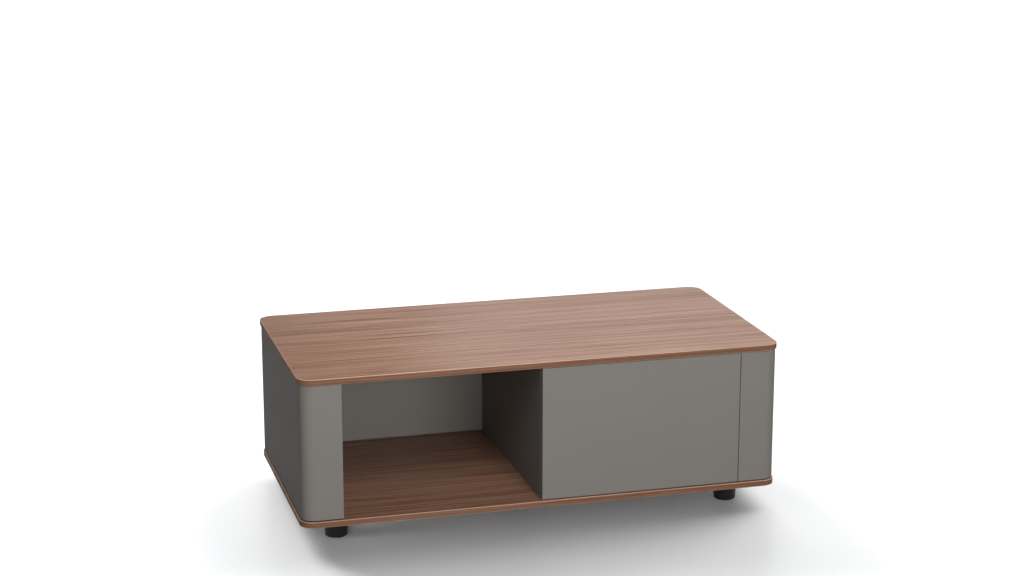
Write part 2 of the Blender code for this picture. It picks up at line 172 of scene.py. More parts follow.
def relief(field, strength, depth):
    return field.node("ShaderNodeBump", {}, {
        "Height": field, "Strength": strength, "Distance": depth})


def facing(place):
    # How far the surface faces along each of the piece's own axes.
    return place.node("ShaderNodeTexCoord", {}, {}, "Normal").parts()


def joined(x, y, z):
    return x.node("ShaderNodeCombineXYZ", {}, {"X": x, "Y": y, "Z": z})


def walnut_veneer(half_depth):
    # Long, nearly straight grain under satin lacquer: wide bands, narrow streaks, fine lines, a few
    # thin dark and pale veins, and open pores. Painted shade darkens the sheet towards its left
    # end.
    # The banding on the edge is more matt, its grain follows it round, and painted shade makes it
    # darker. Its arris has a paler painted highlight.
    finish, shader, place = new_finish("walnut_veneer", {"Specular IOR Level": 0.19})
    x, y, z = place.parts()
    steep = facing(place)[2].math("ABSOLUTE")
    banding = steep < 0.7
    sway = noise(place * (0.9, 2.0, 2.0)) * 0.030
    round_corner = (y.math("ABSOLUTE") - half_depth) * x.math("SIGN")
    on_face = joined(x, y + sway, z)
    on_edge = joined(x - round_corner, z * 3.0, z)
    lie = banding.between(on_face, on_edge, "VECTOR")

    band = rise(noise(lie * (0.6, 34.0, 34.0)), 0.34, 0.66)
    streak = rise(noise(lie * (0.9, 120.0, 120.0), detail=3.0, roughness=0.65), 0.42, 0.58)
    line = rise(noise(lie * (4.0, 300.0, 300.0), detail=3.0, roughness=0.65), 0.41, 0.59)
    hue = rise(noise(lie * (0.8, 30.0, 30.0) + (3.0, 5.0, 0.0)), 0.36, 0.64)
    dark_vein = vein(lie * (0.50, 52.0, 52.0) + (7.0, 1.0, 0.0), 0.960, 0.990)
    pale_vein = vein(lie * (0.60, 60.0, 60.0) + (1.0, 9.0, 0.0), 0.965, 0.995)
    pore = rise(noise(lie * (90.0, 1600.0, 1600.0), detail=1.0), 0.56, 0.70)
    # Painted shade: the colour darkens towards the left end of the sheet.
    painted_left_shade = 1.0 - rise(x, -0.68, -0.28)
    # Painted highlight: paler along the arris, which is also made glossier.
    arris = rise(steep, 0.10, 0.40) * (1.0 - rise(steep, 0.90, 0.99))

    tone = band * 0.12 + streak * 0.40 + line * 0.48
    colour = hue.between(tone.between(*red_grain), tone.between(*brown_grain))
    # The edge banding is darkened here with painted shade, and the arris lightened with a painted
    # highlight.
    for cover, stain in ((dark_vein * 0.55, dark_vein_brown), (pale_vein * 0.45, pale_vein_tan),
                         (pore * 0.28, pore_brown), (painted_left_shade * 0.36, painted_left_shade_brown),
                         (banding * 0.46, painted_edge_shade_brown), (arris * 0.75, painted_highlight_tan)):
        colour = cover.between(colour, stain)
    colour.feeds(shader, "Base Color")
    gloss = banding.between(0.33, 0.74, "FLOAT") - arris * 0.20
    (gloss + line * 0.06 + pore * 0.08).feeds(shader, "Roughness")
    relief(line * 0.4 - pore, 0.20, 0.0001).feeds(shader, "Normal")
    return finish


def rounded_rectangle(half_x, half_y, radius, height):
    # One level of a panel's edge, anticlockwise, with a quarter circle at each corner.
    points = []
    for side_x, side_y, start in ((1, 1, 0), (-1, 1, 90), (-1, -1, 180), (1, -1, 270)):
        for step in range(corner_steps + 1):
            angle = radians(start + 90 * step / corner_steps)
            x = side_x * (half_x - radius) + radius * cos(angle)
            y = side_y * (half_y - radius) + radius * sin(angle)
            points.append((x, y, height))
    return points


def loft(name, rings):
    # A closed skin through rings of as many points each, capped at both ends.
    shape = bmesh.new()
    loops = [[shape.verts.new(point) for point in ring] for ring in rings]
    for lower, upper in zip(loops, loops[1:]):
        for here in range(len(lower)):
            there = (here + 1) % len(lower)
            shape.faces.new((lower[here], lower[there], upper[there], upper[here]))
    shape.faces.new(loops[0])
    shape.faces.new(loops[-1])
    bmesh.ops.recalc_face_normals(shape, faces=shape.faces)
    mesh = bpy.data.meshes.new(name)
    shape.to_mesh(mesh)
    shape.free()
    return mesh


def circle(radius, height, sides=hole_sides):
    return [(radius * cos(tau * step / sides), radius * sin(tau * step / sides), height)
            for step in range(sides)]


def new_piece(name, mesh, finish, place=Matrix.Identity(4)):
    piece = bpy.data.objects.new(name, mesh)
    if not mesh.materials:
        mesh.materials.append(finish)
    piece.matrix_world = place
    bpy.context.scene.collection.objects.link(piece)
    return piece


def soften(piece, width, segments=3):
    # Break the sharp edges with a small round.
    bevel = piece.modifiers.new("arris", "BEVEL")
    bevel.width = width
    bevel.segments = segments
    bevel.limit_method = "ANGLE"
    bevel.angle_limit = edge_angle


def cut(piece, tool, places):
    # Take the tool's shape out of the piece at each place, given in the piece's own frame.
    shape = bmesh.new()
    for place in places:
        known = set(shape.verts)
        shape.from_mesh(tool)
        fresh = [vert for vert in shape.verts if vert not in known]
        bmesh.ops.transform(shape, matrix=place, verts=fresh)
    cutter = bpy.data.objects.new(f"{piece.name}_cutter", bpy.data.meshes.new(tool.name))
    shape.to_mesh(cutter.data)
    shape.free()
    cutter.matrix_world = piece.matrix_world
    bpy.context.scene.collection.objects.link(cutter)
    boolean = piece.modifiers.new(cutter.name, "BOOLEAN")
    boolean.operation = "DIFFERENCE"
    boolean.solver = "EXACT"
    boolean.object = cutter


def shade(mesh):
    # Smooth over the rounds, with the true edges kept sharp.
    mesh.shade_smooth()
    mesh.set_sharp_from_angle(angle=edge_angle)


def settle(piece):
    # Apply the cuts and rounds, then shade it so that the broad faces stay flat.
    bpy.context.view_layer.update()
    carved = piece.evaluated_get(bpy.context.evaluated_depsgraph_get())
    mesh = bpy.data.meshes.new_from_object(carved)
    for modifier in list(piece.modifiers):
        if modifier.type == "BOOLEAN":
            bpy.data.objects.remove(modifier.object, do_unlink=True)
    piece.modifiers.clear()
    piece.data = mesh
    shade(mesh)
    weigh = piece.modifiers.new("shading", "WEIGHTED_NORMAL")
    weigh.keep_sharp = True


def panel(name, node, finish):
    # The top and the base are alike: a rounded rectangle with a quarter round along both arrises.
    low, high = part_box(node)
    half_x, half_y = (high.x - low.x) / 2, (high.y - low.y) / 2
    rings = []
    for level, start in ((low.z + panel_arris, -90), (high.z - panel_arris, 0)):
        for step in range(arris_steps + 1):
            angle = radians(start + 90 * step / arris_steps)
            inset = panel_arris * (1 - cos(angle))
            rings.append(rounded_rectangle(half_x - inset, half_y - inset,
                                           panel_corner_radius - inset,
                                           level + panel_arris * sin(angle)))
    return new_piece(name, loft(name, rings), finish)


def upright_places(height, uprights=(-1, 0, 1)):
    # Where the left board, the divider and the right board are fixed to a panel.
    low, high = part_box("right_side_board")
    across = (low.x + high.x) / 2
    return [Matrix.Translation((side * across, y, height))
            for side in uprights for y in (-fixing_y, fixing_y)]


base_low, base_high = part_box("base_panel")
base_thickness = base_high.z - base_low.z
walnut = walnut_veneer(base_high.y)
base = panel("walnut_base", "base_panel", walnut)
countersink = loft("countersink", [
    circle(base_screw_head_radius + hole_gap, -overrun),
    circle(base_screw_head_radius + hole_gap, 0),
    circle(base_screw_radius + hole_gap, base_screw_head_height + hole_gap),
    circle(base_screw_radius + hole_gap, base_thickness + overrun)])
cut(base, countersink, upright_places(base_low.z))
foot_names = [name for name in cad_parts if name.startswith("foot_") and "pad" not in name]
foot_places = {}
for foot_name in sorted(foot_names):
    low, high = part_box(foot_name)
    foot_places[foot_name] = ((low.x + high.x) / 2, (low.y + high.y) / 2)
stud_bore = loft("stud_bore", [
    circle(stud_radius + hole_gap, -overrun),
    circle(stud_radius + hole_gap, base_thickness * stud_panel_share + hole_gap)])
cut(base, stud_bore, [Matrix.Translation((x, y, base_low.z)) for x, y in foot_places.values()])
settle(base)
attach(base, "carcass")
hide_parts("base_panel")


# Feet
# Round black feet in moulded nylon, one near each corner and one under the middle. A threaded stud
# moulded into each goes up into the base panel until its flange seats against the veneer.
foot_flange_radius = 0.0325
foot_flange_thickness = 0.003
foot_flange_round = 0.0008
foot_neck_radius = 0.030
foot_heel_radius = 0.027
foot_heel_round = 0.004
foot_recess_radius = 0.0183
foot_recess_depth = 0.0018
stud_thread_pitch = 0.00125
stud_thread_depth = 0.0005
foot_sides = 64
nylon_blacks = ((0.0060, 0.0060, 0.0064), (0.0105, 0.0103, 0.0105))


def black_plastic():
    # Spark-eroded moulding texture on a near-black plastic.
    finish, shader, place = new_finish("black_plastic", {"Specular IOR Level": 0.30})
    spark = noise(place * (1500.0, 1500.0, 1500.0))
    bloom = noise(place * (35.0, 35.0, 35.0), detail=3.0)
    bloom.between(*nylon_blacks).feeds(shader, "Base Color")
    (0.46 + bloom * 0.14).feeds(shader, "Roughness")
    relief(spark, 0.25, 0.00006).feeds(shader, "Normal")
    return finish


def bend(centre_x, centre_y, radius, start, end, steps=6):
    # Points on an arc, from a start to an end angle in degrees.
    angles = [radians(start + (end - start) * step / steps) for step in range(steps + 1)]
    return [(centre_x + radius * cos(angle), centre_y + radius * sin(angle)) for angle in angles]


def threaded(core, depth, low, high, pitch, sides, rows_per_turn=8):
    # The rings of a stretch of thread. The crest climbs one pitch in each turn, and the thread
    # fades in and out over a quarter of a turn.
    rows = round((high - low) / pitch * rows_per_turn)
    rings = []
    for row in range(rows + 1):
        height = low + (high - low) * row / rows
        fade = min(1.0, 4 * min(row, rows - row) / rows_per_turn)
        ring = []
        for step in range(sides):
            phase = (height / pitch - step / sides) % 1.0
            reach = core + depth * (1 - abs(2 * phase - 1)) * fade
            angle = tau * step / sides
            ring.append((reach * cos(angle), reach * sin(angle), height))
        rings.append(ring)
    return rings


plastic = black_plastic()
foot_low, foot_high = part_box("foot_centre")
foot_top = base_low.z - hole_gap
flange_low = foot_top - foot_flange_thickness
flange_middle = foot_flange_radius - foot_flange_round
stud_core = stud_radius - stud_thread_depth
profile = [(foot_recess_radius, foot_low.z + foot_recess_depth), (foot_recess_radius, foot_low.z)]
profile += bend(foot_heel_radius - foot_heel_round, foot_low.z + foot_heel_round,
                foot_heel_round, -90, 0)
profile += [(foot_neck_radius, flange_low - foot_flange_round)]
profile += [(foot_neck_radius + foot_flange_round, flange_low)]
profile += bend(flange_middle, flange_low + foot_flange_round, foot_flange_round, -90, 0)
profile += bend(flange_middle, foot_top - foot_flange_round, foot_flange_round, 0, 90)
profile += [(stud_core, foot_top)]
foot_rings = [circle(radius, height, foot_sides) for radius, height in profile]
foot_rings += threaded(stud_core, stud_thread_depth, foot_top + hole_gap, foot_high.z,
                       stud_thread_pitch, foot_sides)
foot_mesh = loft("foot", foot_rings)
shade(foot_mesh)
for foot_name, (x, y) in foot_places.items():
    name = foot_name.replace("foot", "round_foot")
    foot = new_piece(name, foot_mesh, plastic, Matrix.Translation((x, y, 0)))
    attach(foot, "carcass")
    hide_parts(foot_name)


# Foot pads
# A disc of pressed felt glued into the recess under each foot. It stands a little proud of the
# foot, so that the table slides without a mark.
pad_round = 0.0007
felt_greys = ((0.016, 0.015, 0.015), (0.046, 0.044, 0.042))


def pressed_felt():
    # Matted dark fibres, paler where they stand up.
    finish, shader, place = new_finish("dark_felt", {
        "Specular IOR Level": 0.2, "Sheen Weight": 0.3})
    tangle = noise(place * (900.0, 900.0, 900.0), detail=6.0, roughness=0.7)
    tuft = noise(place * (220.0, 220.0, 220.0))
    (tangle * 0.6 + tuft * 0.4).between(*felt_greys).feeds(shader, "Base Color")
    (0.90 + tuft * 0.08).feeds(shader, "Roughness")
    relief(tangle, 0.7, 0.0003).feeds(shader, "Normal")
    return finish


felt = pressed_felt()
pad_low, pad_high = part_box("foot_pad_centre")
pad_radius = (pad_high.x - pad_low.x) / 2
profile = bend(pad_radius - pad_round, pad_round, pad_round, -90, 0) + [(pad_radius, pad_high.z)]
pad_mesh = loft("foot_pad", [circle(radius, height, foot_sides) for radius, height in profile])
shade(pad_mesh)
for foot_name, (x, y) in foot_places.items():
    name = foot_name.replace("foot", "felt_pad")
    pad = new_piece(name, pad_mesh, felt, Matrix.Translation((x, y, 0)))
    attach(pad, "carcass")
    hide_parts(foot_name.replace("foot", "foot_pad"))


# Uprights
# A lacquered board behind each pair of posts and one between the two compartments. They carry the
# top. The side boards have a tongue at the front and the rear, which is glued into the posts.
tongue_half = 0.003
tongue_depth = 0.006
board_arris = 0.0006
dowel_radius = 0.004
dowel_panel_share = 0.65
dowel_length = 0.030
base_screw_length = 0.050
rail_screw_radius = 0.0018
rail_screw_length = 0.010
rail_screw_share = 0.4
rail_bore_sides = 16
joint_gap = 0.0003
lacquer_greys = ((0.203, 0.190, 0.172), (0.223, 0.210, 0.192))


def grey_lacquer():
    # Sprayed satin lacquer: warm grey, very slightly clouded, with a fine orange peel.
    finish, shader, place = new_finish("grey_lacquer", {"Specular IOR Level": 0.12})
    cloud = noise(place * (7.0, 7.0, 7.0), detail=3.0)
    mist = noise(place * (260.0, 260.0, 260.0))
    peel = noise(place * (620.0, 620.0, 620.0), detail=1.0)
    (cloud * 0.7 + mist * 0.3).between(*lacquer_greys).feeds(shader, "Base Color")
    (0.76 + cloud * 0.08 + mist * 0.04).feeds(shader, "Roughness")
    relief(peel, 0.10, 0.00006).feeds(shader, "Normal")
    return finish


def box_rings(low, high):
    corners = ((low.x, low.y), (high.x, low.y), (high.x, high.y), (low.x, high.y))
    return [[(x, y, z) for x, y in corners] for z in (low.z, high.z)]


def rail_screw_turns(node, face_x, along):
    # Where a rail's two screws enter a board, pointing into it along X.
    low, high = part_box(node)
    middle, reach = (low + high) / 2, rail_screw_share * (high.y - low.y)
    turn = Matrix.Rotation(along * pi / 2, 4, "Y")
    return [Matrix.Translation((face_x, middle.y + side * reach, middle.z)) @ turn
            for side in (-1, 1)]


lacquer = grey_lacquer()
top_low, top_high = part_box("top_panel")
dowel_rise = (top_high.z - top_low.z) * dowel_panel_share
screw_bore = loft("screw_bore", [
    circle(base_screw_radius + hole_gap, -overrun),
    circle(base_screw_radius + hole_gap, base_screw_length - base_thickness + hole_gap)])
dowel_bore = loft("dowel_bore", [
    circle(dowel_radius + hole_gap, dowel_rise - dowel_length - hole_gap),
    circle(dowel_radius + hole_gap, overrun)])
rail_bore = loft("rail_bore", [
    circle(rail_screw_radius + hole_gap, -overrun, rail_bore_sides),
    circle(rail_screw_radius + hole_gap, rail_screw_length + hole_gap, rail_bore_sides)])

for side, name in ((-1, "left_side_board"), (0, "centre_divider"), (1, "right_side_board")):
    low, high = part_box(name)
    if side:
        middle_x, half = (low.x + high.x) / 2, (high.x - low.x) / 2
        shoulder = high.y - tongue_depth
        corner = [(half, shoulder), (tongue_half, shoulder), (tongue_half, high.y)]
        plan = corner + [(-x, y) for x, y in reversed(corner)]
        plan += [(-x, -y) for x, y in plan]
        rings = [[(middle_x + x, y, z) for x, y in plan] for z in (low.z, high.z)]
    else:
        rings = box_rings(low, high)
    upright = new_piece(f"{name}_lacquered", loft(name, rings), lacquer)
    soften(upright, board_arris)
    cut(upright, screw_bore, upright_places(low.z, [side]))
    cut(upright, dowel_bore, upright_places(high.z, [side]))
    if side == 0:
        cut(upright, rail_bore, rail_screw_turns("left_cabinet_rail", high.x, -1))
    if side == 1:
        cut(upright, rail_bore, rail_screw_turns("right_cabinet_rail", low.x, 1))
    settle(upright)
    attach(upright, "carcass")
    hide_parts(name)


# Base screws
# Zinc-plated countersunk screws with a hexagon socket and a coarse thread for board. They go up
# through the base panel into the uprights, with their heads level with the veneer.
base_screw_core = 0.0026
base_screw_pitch = 0.003
base_screw_neck = 0.0015
base_screw_tip = 0.003
base_screw_point_share = 0.3
base_screw_sides = 24
socket_radius = 0.002
socket_depth = 0.002
socket_sides = 6
zinc_greys = ((0.26, 0.265, 0.275), (0.44, 0.45, 0.47))


def zinc_steel():
    # Dull zinc plating over rolled steel: fine lines along the length and a clouded bloom.
    finish, shader, place = new_finish("zinc_steel", {"Metallic": 1.0})
    rolled = noise(place * (25.0, 2200.0, 2200.0))
    bloom = noise(place * (60.0, 60.0, 60.0), detail=4.0, roughness=0.6)
    (rolled * 0.45 + bloom * 0.55).between(*zinc_greys).feeds(shader, "Base Color")
    (0.36 + bloom * 0.16 + rolled * 0.08).feeds(shader, "Roughness")
    relief(rolled, 0.12, 0.00005).feeds(shader, "Normal")
    return finish


def mesh_of(sample):
    # Settle a sample and keep only its mesh, which like screws share.
    settle(sample)
    mesh = sample.data
    bpy.data.objects.remove(sample, do_unlink=True)
    return mesh


steel = zinc_steel()
neck = base_screw_head_height + base_screw_neck
rings = [circle(radius, height, base_screw_sides) for radius, height in (
    (base_screw_head_radius, 0), (base_screw_radius, base_screw_head_height),
    (base_screw_radius, neck))]
rings += threaded(base_screw_core, base_screw_radius - base_screw_core, neck + hole_gap,
                  base_screw_length - base_screw_tip, base_screw_pitch, base_screw_sides)
rings += [circle(base_screw_core * base_screw_point_share, base_screw_length, base_screw_sides)]
sample = new_piece("base_screw_sample", loft("base_screw", rings), steel)
socket_tool = loft("socket_tool", [circle(socket_radius, -overrun, socket_sides),
                                   circle(socket_radius, socket_depth, socket_sides)])
cut(sample, socket_tool, [Matrix.Identity(4)])
base_screw_mesh = mesh_of(sample)
for number, place in enumerate(upright_places(base_low.z), start=1):
    screw = new_piece(f"socket_screw_{number}", base_screw_mesh, steel, place)
    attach(screw, "carcass")
    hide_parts(f"base_screw_{number}")


# End shells
# Each end is one bent piece, from the front post round the side to the rear post, bent from thin
# layers over a form and sprayed with satin grey lacquer. It hangs just clear of the base panel.
shell_thickness = 0.016
shell_radius = 0.032
shell_arris = 0.001
shell_inner_radius = shell_radius - shell_thickness
board_low, board_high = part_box("right_side_board")
groove_x, groove_half = (board_low.x + board_high.x) / 2, tongue_half + joint_gap
groove_y = board_high.y + joint_gap
for side, name in ((-1, "left_shell"), (1, "right_shell")):
    low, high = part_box(name)
    outer_x, outer_y = max(high.x, -low.x), high.y
    edge_x = min(abs(low.x), abs(high.x))
    inner_y = outer_y - shell_thickness
    bend_middle = (outer_x - shell_radius, outer_y - shell_radius)
    groove = [(groove_x - groove_half, inner_y), (groove_x - groove_half, groove_y)]
    groove += [(groove_x + groove_half, groove_y), (groove_x + groove_half, inner_y)]
    half_plan = bend(*bend_middle, shell_radius, 0, 90, corner_steps)
    half_plan += [(edge_x, outer_y), (edge_x, inner_y)] + groove
    half_plan += bend(*bend_middle, shell_inner_radius, 90, 0, corner_steps)
    plan = half_plan + [(x, -y) for x, y in reversed(half_plan)]
    rings = [[(side * x, y, z) for x, y in plan] for z in (low.z, high.z)]
    shell = new_piece(f"{name}_lacquered", loft(name, rings), lacquer)
    soften(shell, shell_arris)
    settle(shell)
    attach(shell, "carcass")
    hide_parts(name)


# Back panel
# A lacquered board glued between the rear posts, level with them. It closes both compartments from
# behind and squares the carcass.
low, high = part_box("back_panel")
back = new_piece("back_panel_lacquered", loft("back_panel", box_rings(low, high)), lacquer)
soften(back, shell_arris)
settle(back)
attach(back, "carcass")
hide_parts("back_panel")


# Runners
# Full-extension ball runners in zinc-plated sheet: a cabinet rail on the board, a drawer rail on
# the drawer box, and a middle rail between them that goes half as far as the drawer.
sheet = 0.0012
bend_radius = 0.0012
bend_steps = 6
rail_arris = 0.00025
rail_arris_segments = 2
slot_half_width = 0.0022
slot_half_length = 0.0055
slot_end_steps = 8
slot_shares = (-0.55, -0.2, 0.2, 0.55)
punch_sides = 20
rail_bodies = {"cabinet": "carcass", "drawer": "drawer"}


def bench_to_place(middle, length_way, face_way):
    # How a board or rail that was made flat on the bench stands in the table.
    length, face = Vector(length_way), Vector(face_way)
    turn = Matrix((length, face.cross(length), face)).transposed().to_4x4()
    return Matrix.Translation(middle) @ turn


def bar(name, section, half_length):
    # A length of one section, which is given in its width and its thickness.
    return loft(name, [[(x, y, z) for y, z in section] for x in (-half_length, half_length)])


def channel(half_height, web, lip):
    # Bent sheet: the web at one distance from the board and the edges of its lips at another.
    toward = 1 if lip > web else -1
    outer_radius = bend_radius + sheet
    bend_y, bend_z = half_height - outer_radius, web + toward * outer_radius
    turns = [radians(90 * step / bend_steps) for step in range(bend_steps + 1)]
    outside = [(-half_height, lip)]
    outside += [(-bend_y - outer_radius * sin(turn), bend_z - toward * outer_radius * cos(turn))
                for turn in reversed(turns)]
    inside = [(-bend_y - bend_radius * sin(turn), bend_z - toward * bend_radius * cos(turn))
              for turn in turns]
    inside += [(-(half_height - sheet), lip)]
    mirrored = [(-y, z) for y, z in reversed(outside)] + [(-y, z) for y, z in reversed(inside)]
    return outside + mirrored + inside


slot_end = slot_half_length - slot_half_width
slot_plan = bend(slot_end, 0, slot_half_width, -90, 90, slot_end_steps)
slot_plan += bend(-slot_end, 0, slot_half_width, 90, 270, slot_end_steps)
punch_reach = sheet + overrun
slot_punch = loft("slot_punch", [[(x, y, z) for x, y in slot_plan]
                                 for z in (-punch_reach, punch_reach)])
round_punch = loft("round_punch", [circle(rail_screw_radius + hole_gap, z, punch_sides)
                                   for z in (-punch_reach, punch_reach)])
for side, along in (("left", 1), ("right", -1)):
    cabinet_low, cabinet_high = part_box(f"{side}_cabinet_rail")
    face_x = cabinet_low.x if along > 0 else cabinet_high.x
    for rail in ("cabinet", "middle", "drawer"):
        name = f"{side}_{rail}_rail"
        low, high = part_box(name)
        near, far = (low.x, high.x) if along > 0 else (high.x, low.x)
        web, lip = abs(near - face_x), abs(far - face_x)
        if rail == "drawer":
            web, lip = lip, web
        middle, half_length = (low + high) / 2, (high.y - low.y) / 2
        place = bench_to_place((face_x, middle.y, middle.z), (0, -1, 0), (along, 0, 0))
        section = channel((high.z - low.z) / 2, web, lip)
        piece = new_piece(f"{name}_bent", bar(name, section, half_length), steel, place)
        soften(piece, rail_arris, rail_arris_segments)
        web_z = web + (sheet / 2 if lip > web else -sheet / 2)
        cut(piece, slot_punch, [Matrix.Translation((share * half_length, 0, web_z))
                                for share in slot_shares])
        if rail in rail_bodies:
            screw_x = 2 * rail_screw_share * half_length
            cut(piece, round_punch, [Matrix.Translation((x, 0, web_z))
                                     for x in (-screw_x, screw_x)])
        settle(piece)
        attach(piece, rail_bodies.get(rail, f"{side}_middle"))
        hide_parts(name)


# Rail screws
# Short zinc-plated pan-head screws with a cross recess, two in each rail that is fixed to a board.
# They go through the rail's web into bores in the board.
rail_screw_head_radius = 0.0035
rail_screw_head_height = 0.0018
pan_sides = 32
core_share = 0.72
pitch_share = 0.75
tip_share = 1.6
point_share = 0.25
plain_shank_share = 0.4
rim_share = 0.25
crown_end = 80
crown_steps = 7
recess_half_width = 0.00045
recess_share = 0.55
recess_depth_share = 0.6


def pan_screw(name, radius, length, head_radius, head_height):
    # The head's seat is at height zero. The shank points down, threaded to its point.
    core = radius * core_share
    rings = [circle(core * point_share, -length, pan_sides)]
    rings += threaded(core, radius - core, radius * tip_share - length,
                      -radius * plain_shank_share, radius * pitch_share, pan_sides)
    rings += [circle(radius, 0, pan_sides), circle(head_radius, 0, pan_sides)]
    for x, y in bend(0, 0, 1, 0, crown_end, crown_steps):
        height = head_height * (rim_share + (1 - rim_share) * y)
        rings.append(circle(head_radius * x, height, pan_sides))
    sample = new_piece(name, loft(name, rings), steel)
    half, across = head_radius * recess_share, recess_half_width
    arm = [(-half, -across), (half, -across), (half, across), (-half, across)]
    recess_floor = head_height - head_height * recess_depth_share
    recess_tool = loft("recess", [[(x, y, z) for x, y in arm]
                                  for z in (recess_floor, head_height + overrun)])
    for turn in (0, pi / 2):
        cut(sample, recess_tool, [Matrix.Rotation(turn, 4, "Z")])
    return mesh_of(sample)


rail_screw_mesh = pan_screw("rail_screw", rail_screw_radius, rail_screw_length,
                            rail_screw_head_radius, rail_screw_head_height)
for name in sorted(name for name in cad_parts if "rail_screw" in name):
    low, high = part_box(name)
    middle = (low + high) / 2
    inward = 1 if ("left" in name) == ("cabinet" in name) else -1
    seat_x = (high.x if inward > 0 else low.x) - inward * rail_screw_head_height
    turn = Matrix.Rotation(inward * pi / 2, 4, "Y")
    screw = new_piece(name.replace("rail_screw", "rail_pan_screw"), rail_screw_mesh, steel,
                      Matrix.Translation((seat_x, middle.y, middle.z)) @ turn)
    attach(screw, "drawer" if "drawer" in name else "carcass")
    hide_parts(name)


# Ejectors
# Push-to-open units behind the runners: a closed nylon housing with a spring inside, whose nose
# sends the drawer out when its front is tapped.
ejector_nose = 0.005
ejector_arris = 0.0012
for side, along in (("left", 1), ("right", -1)):
    low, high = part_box(f"{side}_ejector")
    face_x = low.x if along > 0 else high.x
    thickness = high.x - low.x
    plan = [(0, low.y), (thickness - ejector_nose, low.y), (thickness, low.y + ejector_nose)]
    plan += [(thickness, high.y), (0, high.y)]
    rings = [[(face_x + along * x, y, z) for x, y in plan] for z in (low.z, high.z)]
    housing = new_piece(f"{side}_ejector_housing", loft("ejector", rings), plastic)
    soften(housing, ejector_arris)
    settle(housing)
    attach(housing, "carcass")
    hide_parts(f"{side}_ejector")


# Dowels
# Fluted beech dowels, glued two thirds into the uprights and one third into the top panel. The
# flutes let the spare glue and the air out.
dowel_chamfer = 0.001
flute_depth = 0.00015
flutes = 16
steps_per_flute = 4
beech_tans = ((0.46, 0.30, 0.165), (0.64, 0.455, 0.275))
beech_ray_brown = (0.30, 0.175, 0.09)


def plain_beech():
    # Pale pinkish wood with short dark rays along the grain.
    finish, shader, place = new_finish("beech", {"Specular IOR Level": 0.35})
    growth = noise(place * (160.0, 160.0, 14.0), detail=3.0)
    ray = rise(noise(place * (900.0, 900.0, 160.0), detail=1.0), 0.60, 0.72)
    colour = (ray * 0.5).between(growth.between(*beech_tans), beech_ray_brown)
    colour.feeds(shader, "Base Color")
    (0.55 + growth * 0.12).feeds(shader, "Roughness")
    relief(growth, 0.2, 0.0001).feeds(shader, "Normal")
    return finish


beech = plain_beech()
low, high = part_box("top_dowel_1")
profile = [(dowel_radius - dowel_chamfer, low.z), (dowel_radius, low.z + dowel_chamfer)]
profile += [(dowel_radius, high.z - dowel_chamfer), (dowel_radius - dowel_chamfer, high.z)]
dowel_sides = flutes * steps_per_flute
rings = []
for radius, height in profile:
    ring = []
    for step in range(dowel_sides):
        angle = tau * step / dowel_sides
        reach = radius - flute_depth * (1 - cos(flutes * angle)) / 2
        ring.append((reach * cos(angle), reach * sin(angle), height - top_low.z))
    rings.append(ring)
dowel_mesh = loft("dowel", rings)
shade(dowel_mesh)
for number, place in enumerate(upright_places(top_low.z), start=1):
    dowel = new_piece(f"fluted_dowel_{number}", dowel_mesh, beech, place)
    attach(dowel, "carcass")
    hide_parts(f"top_dowel_{number}")


# Top panel
# The same veneered panel as the base, with blind bores in its underside. It is set down on the
# dowels and glued.
top = panel("walnut_top", "top_panel", walnut)
top_bore = loft("top_bore", [circle(dowel_radius + hole_gap, -overrun),
                             circle(dowel_radius + hole_gap, dowel_rise + hole_gap)])
cut(top, top_bore, upright_places(top_low.z))
settle(top)
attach(top, "carcass")
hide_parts("top_panel")


# Drawer box
# Two grooved sides, a bottom held in the grooves, and a front and back board that stand on it, all
# in birch plywood with its plies showing along the edges.
box_arris = 0.0015
front_screw_radius = 0.002
front_screw_length = 0.020
front_screw_head_radius = 0.004
front_screw_head_height = 0.0024
front_bore_reach = 0.05
front_bore_sides = 20
ply = 0.00133
birch_face_tans = ((0.50, 0.375, 0.235), (0.69, 0.545, 0.37))
birch_ply_tans = ((0.60, 0.46, 0.29), (0.33, 0.215, 0.115))


def birch_plywood():
    # Pale silky birch on the faces, and light and dark plies in turn along the edges.
    finish, shader, place = new_finish("birch_plywood", {"Specular IOR Level": 0.4})
    edge = facing(place)[2].math("ABSOLUTE") < 0.6
    thickness = place.parts()[2]
    layer = ((thickness * (1 / (2 * ply)) + 0.25).math("FRACT") - 0.5).math("ABSOLUTE")
    dark_ply = rise(layer, 0.22, 0.28)
    figure = noise(place * (2.2, 26.0, 26.0), detail=3.0, roughness=0.55)
    silk = noise(place * (9.0, 420.0, 420.0))
    end_grain = noise(place * (700.0, 700.0, 1500.0))
    face = (figure * 0.6 + silk * 0.4).between(*birch_face_tans)
    plies = (dark_ply * 0.75 + end_grain * 0.25).between(*birch_ply_tans)
    edge.between(face, plies).feeds(shader, "Base Color")
    (0.42 + silk * 0.08 + edge * 0.14).feeds(shader, "Roughness")
    relief(silk * 0.5 + edge * end_grain, 0.2, 0.00008).feeds(shader, "Normal")
    return finish


def birch_board(node, length_way, face_way):
    # One board of the box, cut square flat on the bench, then stood in its place.
    low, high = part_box(node)
    place = bench_to_place((low + high) / 2, length_way, face_way)
    bench_size = place.to_3x3().inverted() @ (high - low)
    length, width, thickness = [abs(extent) / 2 for extent in bench_size]
    section = [(-width, -thickness), (width, -thickness), (width, thickness), (-width, thickness)]
    piece = new_piece(f"{node}_birch", bar(node, section, length), birch, place)
    soften(piece, box_arris)
    return piece


